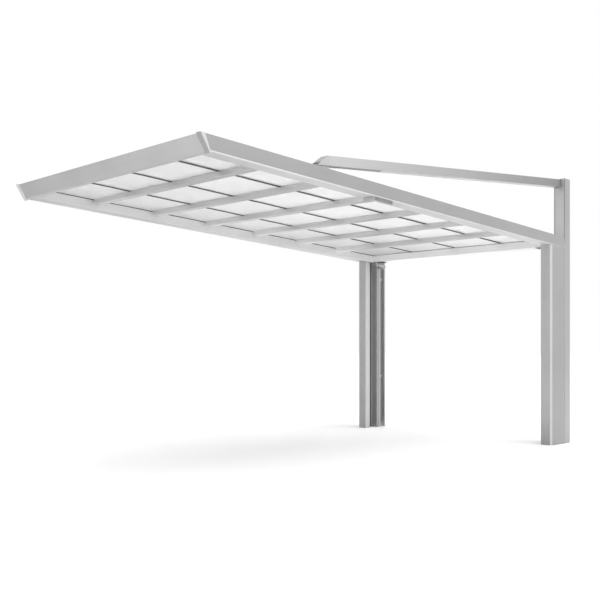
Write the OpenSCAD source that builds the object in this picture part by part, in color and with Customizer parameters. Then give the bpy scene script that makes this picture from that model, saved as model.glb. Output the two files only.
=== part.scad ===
// Rear-post carport for one car, in silver aluminium with a translucent roof.
// Two posts stand at the back; the roof reaches forward from them and hangs
// from two masts by a sloping arm on each side.
// Millimetres. Z up, the open front faces -Y, and the right side is +X.
// The origin is on the ground, in the middle of the right post's front box.

/* [Roof] */
// Width of the roof over both side beams
roof_w = 2720; // [2300:10:3200]
// Fall of the roof from the front down to the posts, in degrees
roof_pitch = 3.5; // [2:0.1:5]
// Height of the side beam's top above ground, at the front of the post
beam_top_z = 2221; // [2100:1:2500]
// Reach of the roof's front edge ahead of the posts, along the roof
roof_reach = 4604; // [3600:1:5400]

/* [Side beams] */
// Height of a side beam
beam_h = 115; // [95:1:150]
// Chamfer along a beam's lower outer edge
beam_chamfer = 8; // [4:1:25]
// How far a beam's inner side reaches past the post's inner side
beam_over = 14; // [8:1:30]
// Width of the ledge on a beam's inner side that carries the panels
ledge_w = 43; // [20:1:60]
// Depth of the panel's underside below the beam's top
panel_drop = 25; // [18:1:40]
// Width of the end cap on a beam, seen from the front
cap_w = 50; // [20:1:60]
// How far the end cap stands proud of the beam and the fascia
cap_proud = 3; // [1:0.5:6]
// How far the end cap hangs below the beam
cap_low = 14; // [2:1:25]
// How far the brace bracket's front plate lies ahead of the third rafter
bracket_ahead = 230; // [150:1:320]
// Length of the brace bracket under the right beam
bracket_len = 221; // [120:1:280]
// Height of the brace bracket under the beam
bracket_h = 30; // [20:1:60]
// Thickness of the brace bracket's plates
bracket_t = 4; // [2:0.5:6]

/* [Fascia] */
// How far the fascia's top leans ahead of its lower edge
fascia_lean = 80; // [20:1:110]
// Thickness of the fascia at the level of the beam's top
fascia_t = 39; // [30:1:60]
// How far the side beam's slanted front end falls back from top to bottom
beam_slant = 55; // [30:1:70]
// Height of the fascia from its lower edge to its top, square to the roof
fascia_h = 110; // [90:1:112]
// How far the fascia's top lies under the beam's top
fascia_low = 5; // [2:1:10]
// Depth of the fascia's inner ledge under the panels
fascia_ledge = 32; // [10:1:60]

/* [Rafters] */
// Depth of the first bay, from the roof's front edge to the first rafter
first_bay = 711; // [500:1:800]
// Depth of the last bay, from the sixth rafter to the gutter
last_bay = 705; // [500:1:800]
// Width of a rafter
rafter_w = 60; // [40:1:90]
// Height of a rafter
rafter_h = 48; // [30:1:70]

/* [Roof panels] */
// Thickness of a roof panel
panel_t = 6; // [3:0.5:10]
// Place of the first panel joint from the right edge, as a share of the roof's width
joint_first_share = 0.2577; // [0.24:0.0001:0.27]
// Spacing of the panel joints, as a share of the roof's width
joint_pitch_share = 0.2318; // [0.22:0.0001:0.24]
// Width of a joint strip between two panels
joint_w = 36; // [16:1:42]
// Width of the joint's cover strip on top of the panels
joint_cover_w = 60; // [44:1:80]
// Thickness of the joint's cover strip
joint_cover_t = 5; // [3:0.5:8]

/* [Rear gutter] */
// How far the gutter's front face lies behind the front of the posts
gutter_back = 142; // [110:1:150]
// Depth of the gutter from front to back
gutter_d = 120; // [100:1:130]
// Height of the gutter's front wall
gutter_h = 83; // [60:1:88]
// Thickness of the gutter's walls
gutter_t = 5; // [3:0.5:8]
// Height of the gutter's back wall above the panel's underside
gutter_back_rise = 16; // [8:1:17]
// How far the panels reach into the gutter
panel_into_gutter = 80; // [40:1:90]

/* [Posts] */
// Width of a post
post_w = 126; // [100:1:150]
// Depth of a post's closed front box
box_d = 85; // [60:1:110]
// Depth of a post's open channel behind the front box
channel_d = 135; // [90:1:180]
// Depth of a post's rear rib
rib_d = 52; // [20:1:70]
// Thickness of a post's outer web beside the channel
web_t = 36; // [16:1:50]
// Chamfer on a post's front outer corner
post_chamfer = 18; // [6:1:26]

/* [Masts] */
// Height of a mast above ground, without its cap
mast_h = 2829; // [2750:1:3100]
// Depth of a mast from front to back
mast_d = 115; // [100:1:150]
// Thickness of a mast's front wall
mast_front_t = 12; // [6:1:20]
// Thickness of a mast's rear wall
mast_rear_t = 17; // [8:1:25]
// Thickness of a mast's outer web beside its channel
mast_web_t = 44; // [20:1:55]
// Side of the square groove on a mast's front outer corner
mast_groove = 9; // [4:1:15]
// Thickness of the cap on a mast
mast_cap_t = 6; // [3:1:12]

/* [Arms] */
// How far an arm's top edge lies under the mast's top
arm_low = 1; // [1:1:40]
// Height of an arm, measured upright
arm_h = 82; // [60:1:95]
// Width of an arm, from the mast's inner side outwards
arm_w = 87; // [60:1:110]
// Place of the tip of the arm's nose ahead of the posts, as a share of the roof's reach
arm_reach_share = 0.745; // [0.6:0.001:0.85]
// Length of the bevelled nose on an arm's front end
nose_len = 116; // [80:1:170]
// Height of the blunt tip of the nose
nose_tip = 8; // [4:1:20]
// Gap between the beam's top and the arm's underside at the tip of the nose
nose_gap = 19; // [4:1:30]
// Length of the foot that stands on the beam under the nose
foot_len = 118; // [80:1:200]
// Setback of the foot from the tip of the nose
foot_setback = 20; // [10:1:40]
// Setback of the foot from each side of the arm
foot_inset = 12; // [6:1:20]
// Length of the stiffening bar under an arm, behind the foot
stiffener_len = 606; // [300:1:900]
// Width of the stiffening bar
stiffener_w = 24; // [20:1:40]
// Thickness of the stiffening bar
stiffener_t = 8; // [4:1:12]

/* [Downpipes] */
// Outside diameter of a downpipe
pipe_d = 40; // [30:1:50]
// Wall thickness of a downpipe
pipe_t = 3; // [2:0.5:5]
// Distance of the pipe's upper run from the post's inner face
pipe_off = 40; // [40:1:60]
// Distance of the pipe's outlet behind the post's front face
outlet_back = 168; // [168:1:210]
// Drop of the pipe's upper run below the gutter
pipe_drop = 26; // [26:1:60]
// Fall of the pipe's upper run towards the mast, in degrees
pipe_fall = 10; // [2:1:20]
// Thickness of the sockets at the pipe's bends
socket_t = 2; // [1:0.5:4]
// Height of the pipe's lower end above ground
pipe_end_z = 60; // [20:1:200]
// Height of the upper clip above ground
clip_high_z = 1880; // [1500:10:1950]
// Height of the lower clip above ground
clip_low_z = 640; // [300:10:1200]
// Height of a clip's band
clip_h = 20; // [12:1:40]
// Thickness of a clip's band
clip_t = 3; // [2:0.5:5]
// Play between a clip's band and its pipe
clip_play = 0.3; // [0.2:0.1:1]

/* [Hidden] */
$fn = 32;

silver = "silver";
dark = "dimgray";
clear = "whitesmoke";

// Planes of the right side, from the middle of the right post
side_x = post_w / 2;
span = roof_w - post_w;
front_y = -box_d / 2;
post_d = box_d + channel_d + rib_d;
mast_y = front_y + post_d;
beam_x = side_x + beam_over;
ledge_x = beam_x - ledge_w;
cap_x = side_x - cap_w;

// Lines on the roof, along its slope
fascia_foot_reach = roof_reach - fascia_lean;
beam_top_reach = roof_reach - fascia_t;
beam_foot_reach = beam_top_reach - beam_slant;
rafter_reach = roof_reach - first_bay;
rafter_pitch = (rafter_reach + gutter_back - last_bay) / 5;
bracket_reach = rafter_reach - 2 * rafter_pitch + bracket_ahead;
fascia_foot_z = -fascia_low - fascia_h;
slant_share = beam_slant / beam_h;
panel_front = -beam_top_reach + slant_share * panel_drop;
panel_back = gutter_back + panel_into_gutter;
gutter_floor_z = -panel_drop - gutter_h;

// A part for the right side, or its mirror image for the left
module side(right) {
    if (right) children();
    else translate([-span, 0, 0]) mirror([1, 0, 0]) children();
}

// The sloping frame of the roof: y along the slope, z square to it,
// with zero at the front of the posts and at the top of the side beams
module on_roof() {
    translate([0, front_y, beam_top_z]) rotate([-roof_pitch, 0, 0]) children();
}

// A side outline of [y, z] points, made solid between two x planes
module across(from_x, to_x, outline) {
    translate([from_x, 0, 0]) rotate([90, 0, 90])
        linear_extrude(height = to_x - from_x) polygon(outline);
}

// A front outline of [x, z] points, made solid between two y planes
module along(from_y, to_y, outline) {
    translate([0, to_y, 0]) rotate([90, 0, 0])
        linear_extrude(height = to_y - from_y) polygon(outline);
}

// The post has a closed box in front, then a channel open to the inside
module post(right) {
    reach = roof_w;
    side(right) color(silver) difference() {
        linear_extrude(height = beam_top_z) polygon([
            [-side_x, front_y], [side_x - post_chamfer, front_y],
            [side_x, front_y + post_chamfer], [side_x, mast_y],
            [-side_x, mast_y], [-side_x, mast_y - rib_d],
            [side_x - web_t, mast_y - rib_d], [side_x - web_t, front_y + box_d],
            [-side_x, front_y + box_d]
        ]);
        // The post's top is cut to the slope of the beam that lies on it
        on_roof() translate([-reach, -reach, -beam_h]) cube([reach + reach, reach + reach, reach]);
    }
}

module right_post() { post(true); }
module left_post() { post(false); }

// The mast stands behind the post, with a channel for the downpipe
module mast_outline() {
    back_y = mast_y + mast_d;
    polygon([
        [-side_x, mast_y], [side_x - mast_groove, mast_y],
        [side_x - mast_groove, mast_y + mast_groove], [side_x, mast_y + mast_groove],
        [side_x, back_y], [-side_x, back_y], [-side_x, back_y - mast_rear_t],
        [side_x - mast_web_t, back_y - mast_rear_t], [side_x - mast_web_t, mast_y + mast_front_t],
        [-side_x, mast_y + mast_front_t]
    ]);
}

module mast(right) {
    side(right) color(silver) linear_extrude(height = mast_h) mast_outline();
}

module right_mast() { mast(true); }
module left_mast() { mast(false); }

module mast_cap(right) {
    side(right) color(dark) translate([-side_x, mast_y, mast_h]) cube([post_w, mast_d, mast_cap_t]);
}

module right_mast_cap() { mast_cap(true); }
module left_mast_cap() { mast_cap(false); }

// The side beam runs from the fascia over the post to the mast
module side_beam(right) {
    side(right) color(silver) difference() {
        on_roof() along(-beam_top_reach, post_d + beam_h, [
            [side_x, 0], [side_x, beam_chamfer - beam_h], [side_x - beam_chamfer, -beam_h],
            [-beam_x, -beam_h], [-beam_x, -panel_drop], [-ledge_x, -panel_drop], [-ledge_x, 0]
        ]);
        // The front end is cut on a slant behind the fascia
        on_roof() across(-roof_w, roof_w, [
            [-beam_top_reach - beam_slant, beam_h], [-beam_top_reach - beam_slant, -beam_h - beam_h],
            [-beam_foot_reach + beam_slant, -beam_h - beam_h]
        ]);
        // The back end is cut upright against the mast
        translate([-roof_w, mast_y, 0]) cube([roof_w + roof_w, roof_w, mast_h]);
    }
}

module right_side_beam() { side_beam(true); }
module left_side_beam() { side_beam(false); }

// The wedge-shaped cap closes the corner between the beam and the fascia
module beam_cap(right) {
    foot_z = -beam_h - cap_low;
    front_foot = -fascia_foot_reach - cap_proud + cap_low * fascia_lean / fascia_h;
    side(right) color(silver) on_roof() across(cap_x, side_x + cap_proud, [
        [-roof_reach - cap_proud, 0], [-beam_top_reach, 0],
        [-beam_top_reach - slant_share * foot_z, foot_z], [front_foot, foot_z]
    ]);
}

module right_beam_cap() { beam_cap(true); }
module left_beam_cap() { beam_cap(false); }

// The brace bracket hangs under the right beam: a side plate and a front plate
module brace_bracket() {
    plate_x = side_x - beam_chamfer;
    color(dark) on_roof() translate([0, -bracket_reach, -beam_h - bracket_h]) {
        translate([plate_x - bracket_t, 0, 0]) cube([bracket_t, bracket_len, bracket_h]);
        translate([-beam_x, 0, 0]) cube([beam_x + plate_x, bracket_t, bracket_h]);
    }
}

// The fascia leans forward, and its ledge carries the panels' front edges
module front_fascia() {
    back_top = -beam_top_reach + slant_share * fascia_low;
    back_foot = -beam_top_reach - slant_share * fascia_foot_z;
    color(silver) on_roof() {
        across(-span - cap_x, cap_x, [
            [-roof_reach, -fascia_low], [-fascia_foot_reach, fascia_foot_z],
            [back_foot, fascia_foot_z], [back_top, -fascia_low]
        ]);
        across(-span + beam_x, -beam_x, [
            [back_foot, fascia_foot_z], [-beam_foot_reach + fascia_ledge, fascia_foot_z],
            [-beam_foot_reach + fascia_ledge, -panel_drop], [panel_front, -panel_drop]
        ]);
    }
}

// The gutter closes the roof's lower end: a channel open at the top
module rear_gutter() {
    back_y = gutter_back + gutter_d;
    color(silver) on_roof() across(-span + beam_x + gutter_t, -beam_x - gutter_t, [
        [gutter_back, -panel_drop], [gutter_back, gutter_floor_z], [back_y, gutter_floor_z],
        [back_y, gutter_back_rise - panel_drop], [back_y - gutter_t, gutter_back_rise - panel_drop],
        [back_y - gutter_t, gutter_floor_z + gutter_t],
        [gutter_back + gutter_t, gutter_floor_z + gutter_t], [gutter_back + gutter_t, -panel_drop]
    ]);
}

// A plate closes each end of the gutter
module gutter_end_caps() {
    for (right = [true, false])
        side(right) color(silver) on_roof()
            translate([-beam_x - gutter_t, gutter_back, gutter_floor_z])
                cube([gutter_t, gutter_d, gutter_h]);
}

// Six rafters span between the side beams under the panels
module rafter(bays_back) {
    color(silver) on_roof()
        translate([-span + beam_x, -rafter_reach + bays_back * rafter_pitch, -panel_drop - rafter_h])
            cube([span - beam_x - beam_x, rafter_w, rafter_h]);
}

module rafter_1() { rafter(0); }
module rafter_2() { rafter(1); }
module rafter_3() { rafter(2); }
module rafter_4() { rafter(3); }
module rafter_5() { rafter(4); }
module rafter_6() { rafter(5); }

// Middle of a panel joint, so many spacings left of the first
function joint_x(spacings) = side_x - roof_w * (joint_first_share + spacings * joint_pitch_share);
half_joint = joint_w / 2;

// Four panels lie side by side on the beams' ledges
module roof_panel(right_x, left_x) {
    color(clear, 0.6) on_roof() translate([left_x, panel_front, -panel_drop])
        cube([right_x - left_x, panel_back - panel_front, panel_t]);
}

module roof_panel_1() { roof_panel(-ledge_x, joint_x(0) + half_joint); }
module roof_panel_2() { roof_panel(joint_x(0) - half_joint, joint_x(1) + half_joint); }
module roof_panel_3() { roof_panel(joint_x(1) - half_joint, joint_x(2) + half_joint); }
module roof_panel_4() { roof_panel(joint_x(2) - half_joint, -span + ledge_x); }

// A joint bar fills the gap between two panels and covers it on top
module joint_bar(spacings) {
    half_cover = joint_cover_w / 2;
    cover_z = panel_t - panel_drop;
    color(dark) on_roof() translate([joint_x(spacings), 0, 0]) along(panel_front, panel_back, [
        [-half_joint, -panel_drop], [half_joint, -panel_drop], [half_joint, cover_z], [half_cover, cover_z],
        [half_cover, cover_z + joint_cover_t], [-half_cover, cover_z + joint_cover_t],
        [-half_cover, cover_z], [-half_joint, cover_z]
    ]);
}

module joint_bar_1() { joint_bar(0); }
module joint_bar_2() { joint_bar(1); }
module joint_bar_3() { joint_bar(2); }

// Heights along the beam's top and along an arm, for a y position.
// An arm falls from the mast's top to a set gap over the beam at its nose.
function beam_z(y) = beam_top_z - (y - front_y) * tan(roof_pitch);
nose_y = front_y - roof_reach * arm_reach_share;
arm_front_y = nose_y + nose_len;
arm_top_z = mast_h - arm_low;
arm_slope = (arm_top_z - arm_h - beam_z(nose_y) - nose_gap) / (mast_y - nose_y);
arm_x = arm_w - side_x;
function arm_z(y) = arm_top_z + (y - mast_y) * arm_slope;
function arm_foot_z(y) = arm_z(y) - arm_h;

// The arm is a straight bar from the mast down to the roof
module arm(right) {
    side(right) color(silver) across(-side_x, arm_x, [
        [mast_y, arm_foot_z(mast_y)], [mast_y, arm_z(mast_y)],
        [arm_front_y, arm_z(arm_front_y)], [arm_front_y, arm_foot_z(arm_front_y)]
    ]);
}

module right_arm() { arm(true); }
module left_arm() { arm(false); }

// The nose closes the arm's front end with a long bevel
module arm_nose(right) {
    side(right) color(silver) across(-side_x, arm_x, [
        [arm_front_y, arm_foot_z(arm_front_y)], [arm_front_y, arm_z(arm_front_y)],
        [nose_y, arm_foot_z(nose_y) + nose_tip], [nose_y, arm_foot_z(nose_y)]
    ]);
}

module right_arm_nose() { arm_nose(true); }
module left_arm_nose() { arm_nose(false); }

// The foot fills the wedge between the beam and the arm,
// and a bar behind it stiffens the arm's outer lower edge
module arm_foot(right) {
    toe_y = nose_y + foot_setback;
    heel_y = toe_y + foot_len;
    end_y = heel_y + stiffener_len;
    side(right) color(dark) {
        across(foot_inset - side_x, arm_x - foot_inset, [
            [toe_y, arm_foot_z(toe_y)], [toe_y, beam_z(toe_y)],
            [heel_y, beam_z(heel_y)], [heel_y, arm_foot_z(heel_y)]
        ]);
        across(arm_x - stiffener_w, arm_x, [
            [heel_y, arm_foot_z(heel_y)], [heel_y, arm_foot_z(heel_y) - stiffener_t],
            [end_y, arm_foot_z(end_y) - stiffener_t], [end_y, arm_foot_z(end_y)]
        ]);
    }
}

module right_arm_foot() { arm_foot(true); }
module left_arm_foot() { arm_foot(false); }

// Line of the downpipe, from the gutter back and down the mast's channel
outlet_x = -side_x - pipe_off;
outlet_y = front_y + outlet_back;
pipe_x = -mast_web_t / 2;
pipe_y = (mast_y + mast_front_t + mast_y + mast_d - mast_rear_t) / 2;
gutter_foot_z = beam_top_z + gutter_floor_z * cos(roof_pitch) - outlet_back * sin(roof_pitch);
run_z = gutter_foot_z - pipe_drop;
run_len = (pipe_y - outlet_y) / cos(pipe_fall);
bend_z = run_z - run_len * sin(pipe_fall);

// The solid of the pipe's line at a given diameter
module pipe_line(d, top_z, end_z) {
    translate([outlet_x, outlet_y, run_z]) cylinder(d = d, h = top_z - run_z);
    translate([outlet_x, outlet_y, run_z]) sphere(d = d + socket_t + socket_t);
    translate([outlet_x, outlet_y, run_z]) rotate([-90 - pipe_fall, 0, 0]) cylinder(d = d, h = run_len);
    translate([outlet_x, pipe_y, bend_z]) sphere(d = d + socket_t + socket_t);
    translate([outlet_x, pipe_y, bend_z]) rotate([0, 90, 0]) cylinder(d = d, h = pipe_x - outlet_x);
    translate([pipe_x, pipe_y, bend_z]) sphere(d = d + socket_t + socket_t);
    translate([pipe_x, pipe_y, end_z]) cylinder(d = d, h = bend_z - end_z);
}

module downpipe(right) {
    side(right) color(silver) difference() {
        pipe_line(pipe_d, gutter_foot_z + pipe_drop, pipe_end_z);
        // The top is cut to the gutter's sloping underside
        on_roof() translate([-roof_w, -roof_w, gutter_floor_z])
            cube([roof_w + roof_w, roof_w + roof_w, roof_w]);
        // The lower end is open
        translate([pipe_x, pipe_y, pipe_end_z - pipe_d])
            cylinder(d = pipe_d - pipe_t - pipe_t, h = pipe_d + pipe_d);
    }
}

module right_downpipe() { downpipe(true); }
module left_downpipe() { downpipe(false); }

// A band around the pipe, with a lug on the mast's web
module pipe_clip(at_z) {
    hole_d = pipe_d + clip_play + clip_play;
    band_d = hole_d + clip_t + clip_t;
    web_x = side_x - mast_web_t;
    color(dark) translate([0, pipe_y, at_z]) difference() {
        union() {
            translate([pipe_x, 0, 0]) cylinder(d = band_d, h = clip_h);
            translate([pipe_x, -pipe_d / 4, 0]) cube([web_x - pipe_x, pipe_d / 2, clip_h]);
        }
        translate([pipe_x, 0, -clip_h]) cylinder(d = hole_d, h = clip_h + clip_h + clip_h);
    }
}

module pipe_clips() {
    for (right = [true, false])
        for (at_z = [clip_low_z, clip_high_z])
            side(right) pipe_clip(at_z);
}

right_post();
left_post();
right_mast();
left_mast();
right_mast_cap();
left_mast_cap();
right_side_beam();
left_side_beam();
right_beam_cap();
left_beam_cap();
brace_bracket();
front_fascia();
rear_gutter();
gutter_end_caps();
rafter_1();
rafter_2();
rafter_3();
rafter_4();
rafter_5();
rafter_6();
roof_panel_1();
roof_panel_2();
roof_panel_3();
roof_panel_4();
joint_bar_1();
joint_bar_2();
joint_bar_3();
right_arm();
left_arm();
right_arm_nose();
left_arm_nose();
right_arm_foot();
left_arm_foot();
right_downpipe();
left_downpipe();
pipe_clips();
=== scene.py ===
import math

import bpy
from mathutils import Matrix, Quaternion, Vector


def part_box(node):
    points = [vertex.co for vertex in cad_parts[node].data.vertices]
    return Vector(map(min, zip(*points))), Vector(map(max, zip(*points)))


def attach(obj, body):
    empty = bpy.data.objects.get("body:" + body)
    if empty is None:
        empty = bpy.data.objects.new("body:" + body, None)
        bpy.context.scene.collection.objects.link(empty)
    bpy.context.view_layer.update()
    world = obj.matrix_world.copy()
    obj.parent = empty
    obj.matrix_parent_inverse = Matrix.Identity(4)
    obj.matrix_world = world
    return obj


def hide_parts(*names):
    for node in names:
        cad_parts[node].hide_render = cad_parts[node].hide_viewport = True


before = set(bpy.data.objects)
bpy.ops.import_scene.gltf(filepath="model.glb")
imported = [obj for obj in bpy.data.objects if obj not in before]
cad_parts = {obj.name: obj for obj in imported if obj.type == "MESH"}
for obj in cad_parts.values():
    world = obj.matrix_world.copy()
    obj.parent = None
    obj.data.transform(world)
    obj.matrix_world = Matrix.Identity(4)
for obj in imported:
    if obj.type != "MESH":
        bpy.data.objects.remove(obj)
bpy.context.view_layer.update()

# The studio
# A white studio with a matt floor and one broad soft lamp overhead. The camera stands at chest
# height off the front right corner, and looks level across the open front.
scene = bpy.context.scene
scene.view_settings.view_transform = "Standard"


def from_hex(code):
    """The linear colour of an sRGB hex value."""
    shares = [int(code[place:place + 2], 16) / 255 for place in (1, 3, 5)]
    return [s / 12.92 if s <= 0.04045 else ((s + 0.055) / 1.055) ** 2.4 for s in shares] + [1.0]


def add_node(tree, kind, settings, inputs):
    """A node with its settings, and with each input set to a value or linked to a socket."""
    made = tree.nodes.new(kind)
    for key, value in settings.items():
        setattr(made, key, value)
    for key, value in inputs.items():
        if isinstance(value, bpy.types.NodeSocket):
            tree.links.new(value, made.inputs[key])
        else:
            made.inputs[key].default_value = value
    return made


camera_data = bpy.data.cameras.new("camera")
camera_data.sensor_width = 36.0
camera_data.lens = 51.471
camera_data.shift_y = 0.07182
camera = bpy.data.objects.new("camera", camera_data)
camera.location = (4.6875, -8.1766, 1.0730)
camera.rotation_euler = (math.radians(90.0), 0.0, math.radians(45.959))
scene.collection.objects.link(camera)
scene.camera = camera

floor_size = 120.0
bpy.ops.object.select_all(action="DESELECT")
bpy.ops.mesh.primitive_plane_add(size=floor_size)
floor = bpy.context.object
floor.name = "studio_floor"
floor_paint = bpy.data.materials.new("matt_white_floor_paint")
floor_paint.use_nodes = True
floor_shader = floor_paint.node_tree.nodes["Principled BSDF"]
floor_shader.inputs["Base Color"].default_value = from_hex("#F4F4F4")
floor_shader.inputs["Roughness"].default_value = 0.9
floor_shader.inputs["Specular IOR Level"].default_value = 0.0
floor.data.materials.append(floor_paint)

# The walls are white to the eye and in reflections, and give a lower fill light to the rest.
walls = bpy.data.worlds.new("studio_walls")
scene.world = walls
walls.use_nodes = True
wall_tree = walls.node_tree
seen = add_node(wall_tree, "ShaderNodeLightPath", {}, {})
direct = add_node(wall_tree, "ShaderNodeMath", {"operation": "MAXIMUM"},
                  {0: seen.outputs["Is Camera Ray"], 1: seen.outputs["Is Glossy Ray"]})
shown = add_node(wall_tree, "ShaderNodeMath", {"operation": "MAXIMUM"},
                 {0: direct.outputs[0], 1: seen.outputs["Is Transmission Ray"]})
strength = add_node(wall_tree, "ShaderNodeMapRange", {},
                    {"Value": shown.outputs[0], "To Min": 0.6, "To Max": 1.0})
backdrop = wall_tree.nodes["Background"]
backdrop.inputs["Color"].default_value = (1.0, 1.0, 1.0, 1.0)
wall_tree.links.new(strength.outputs["Result"], backdrop.inputs["Strength"])

lamp_data = bpy.data.lights.new("overhead_softbox", "SUN")
lamp_data.energy = 2.8
lamp_data.angle = math.radians(100.0)
lamp = bpy.data.objects.new("overhead_softbox", lamp_data)
lamp.rotation_euler = (math.radians(-8.0), math.radians(22.0), 0.0)
scene.collection.objects.link(lamp)

# A lamp just over the floor lifts the shade under the roof, as a white reflector does.
bounce_data = bpy.data.lights.new("floor_reflector", "AREA")
bounce_data.shape = "RECTANGLE"
bounce_data.size, bounce_data.size_y = 2.4, 3.6
bounce_data.energy = 45.0
bounce = bpy.data.objects.new("floor_reflector", bounce_data)
bounce.location = (-1.3, -2.6, 0.02)
bounce.rotation_euler = (math.radians(180.0), 0.0, 0.0)
bounce.visible_camera = False
scene.collection.objects.link(bounce)

# Posts
# Each post is one deep aluminium extrusion that is cast into its footing: a closed box in front
# with a chamfered outer corner, a channel open to the inside, and a rib behind it.
# The saw cuts its top to the fall of the roof, and the side beam lies on the cut.
post_low, post_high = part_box("right_post")
middle_x = (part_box("left_post")[0].x + post_high.x) / 2
front_rafter, rear_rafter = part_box("rafter_1")[0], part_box("rafter_6")[0]
roof_fall = math.atan2(front_rafter.z - rear_rafter.z, rear_rafter.y - front_rafter.y)


def pressed(name, outline, start, end, axis):
    """A bar drawn from an outline along one axis, as through the die of an extrusion press."""
    def place(distance, across, up):
        return {"x": (distance, across, up), "y": (across, distance, up), "z": (across, up, distance)}[axis]

    bpy.ops.object.select_all(action="DESELECT")
    bpy.ops.mesh.primitive_circle_add(vertices=len(outline), fill_type="NGON")
    bar = bpy.context.object
    bar.name = name
    for corner, point in zip(bar.data.vertices, outline):
        corner.co = place(start, *point)
    bpy.ops.object.mode_set(mode="EDIT")
    bpy.ops.mesh.select_all(action="SELECT")
    bpy.ops.mesh.extrude_region_move(TRANSFORM_OT_translate={"value": place(end - start, 0, 0)})
    bpy.ops.mesh.select_all(action="SELECT")
    bpy.ops.mesh.normals_make_consistent(inside=False)
    bpy.ops.object.mode_set(mode="OBJECT")
    return bar


def rounded(piece, radius, segments=2):
    """Rounds a piece's edges, as the die or the mould leaves them."""
    bpy.ops.object.select_all(action="DESELECT")
    piece.select_set(True)
    bpy.context.view_layer.objects.active = piece
    edge = piece.modifiers.new("edge", "BEVEL")
    edge.width = radius
    edge.segments = segments
    edge.limit_method = "ANGLE"
    edge.angle_limit = math.radians(20.0)
    bpy.ops.object.modifier_apply(modifier=edge.name)
    return piece


def looks_along(face, direction):
    """Whether a face looks along a direction, give or take about 25 degrees."""
    least_share = 0.9
    return face.normal.dot(Vector(direction).normalized()) > least_share


def recoated(piece, finish, faces):
    """Gives another finish to some of a piece's faces."""
    piece.data.materials.append(finish)
    for face in faces:
        face.material_index = len(piece.data.materials) - 1


def coated(piece, finish, *others):
    """Gives a piece its finish, and other finishes to the faces that look along other directions."""
    piece.data.materials.append(finish)
    for other, direction in others:
        recoated(piece, other, [face for face in piece.data.polygons if looks_along(face, direction)])
    return piece


def swapped(piece, old, new):
    """Puts one finish in the place of another on a piece."""
    piece.data.materials[piece.data.materials.find(old.name)] = new


def left_twin(piece, name):
    """The mirror image of a right-hand piece for the left side, with its own mesh."""
    twin = piece.copy()
    twin.data = piece.data.copy()
    twin.name = name
    scene.collection.objects.link(twin)
    for corner in twin.data.vertices:
        corner.co.x = 2 * middle_x - corner.co.x
    bpy.ops.object.select_all(action="DESELECT")
    twin.select_set(True)
    bpy.context.view_layer.objects.active = twin
    bpy.ops.object.mode_set(mode="EDIT")
    bpy.ops.mesh.select_all(action="SELECT")
    bpy.ops.mesh.flip_normals()
    bpy.ops.object.mode_set(mode="OBJECT")
    return twin


def fitted(piece, slot, *nodes):
    """Sets a finished piece in the part, in place of the CAD nodes that it stands for."""
    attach(piece, "root")
    if nodes:
        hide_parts(*nodes)


# Anodised aluminium, etched and satin: a pale grey metal sheen with faint lines along the
# extrusion. Real die lines are under a millimetre apart; these are drawn 12 mm wide to show.
# The tone drifts between two greys along one axis: painted light and shade, for how the light falls along
# the bar.
def anodised(name, tones, run, painted_light_drift):
    line_width, line_length, cloud = 0.012, 1.5, 0.6
    painted_light_axis, painted_light_start, painted_light_end = painted_light_drift
    metal = bpy.data.materials.new(name)
    metal.use_nodes = True
    tree = metal.node_tree
    shader = tree.nodes["Principled BSDF"]
    shader.inputs["Metallic"].default_value = 0.75
    spot = add_node(tree, "ShaderNodeTexCoord", {}, {})
    along = add_node(tree, "ShaderNodeSeparateXYZ", {}, {"Vector": spot.outputs["Object"]})
    place = add_node(tree, "ShaderNodeMapRange", {},
                     {"Value": along.outputs[painted_light_axis], "From Min": painted_light_start, "From Max": painted_light_end})
    tone = add_node(tree, "ShaderNodeMix", {"data_type": "RGBA"},
                    {0: place.outputs["Result"], 6: from_hex(tones[0]), 7: from_hex(tones[1])})
    spread = [1 / (line_length if axis == run else line_width) for axis in "xyz"]
    stretch = add_node(tree, "ShaderNodeMapping", {}, {"Vector": spot.outputs["Object"], "Scale": spread})
    lines = add_node(tree, "ShaderNodeTexNoise", {},
                     {"Vector": stretch.outputs["Vector"], "Scale": 1.0, "Detail": 4.0, "Roughness": 0.6})
    clouds = add_node(tree, "ShaderNodeTexNoise", {},
                      {"Vector": spot.outputs["Object"], "Scale": 1 / cloud, "Detail": 2.0})
    both = add_node(tree, "ShaderNodeMath", {"operation": "MULTIPLY_ADD"},
                    {0: lines.outputs["Fac"], 1: 0.5, 2: clouds.outputs["Fac"]})
    grain = add_node(tree, "ShaderNodeMapRange", {},
                     {"Value": both.outputs[0], "From Min": 0.5, "From Max": 1.0,
                      "To Min": 0.93, "To Max": 1.03})
    grained = add_node(tree, "ShaderNodeMix", {"data_type": "RGBA", "blend_type": "MULTIPLY"},
                       {0: 1.0, 6: tone.outputs[2], 7: grain.outputs["Result"]})
    sheen = add_node(tree, "ShaderNodeMapRange", {},
                     {"Value": both.outputs[0], "From Min": 0.5, "From Max": 1.0,
                      "To Min": 0.46, "To Max": 0.36})
    relief = add_node(tree, "ShaderNodeBump", {},
                      {"Height": lines.outputs["Fac"], "Strength": 0.08, "Distance": 0.0006})
    tree.links.new(grained.outputs[2], shader.inputs["Base Color"])
    tree.links.new(sheen.outputs["Result"], shader.inputs["Roughness"])
    tree.links.new(relief.outputs["Normal"], shader.inputs["Normal"])
    return metal
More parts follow.
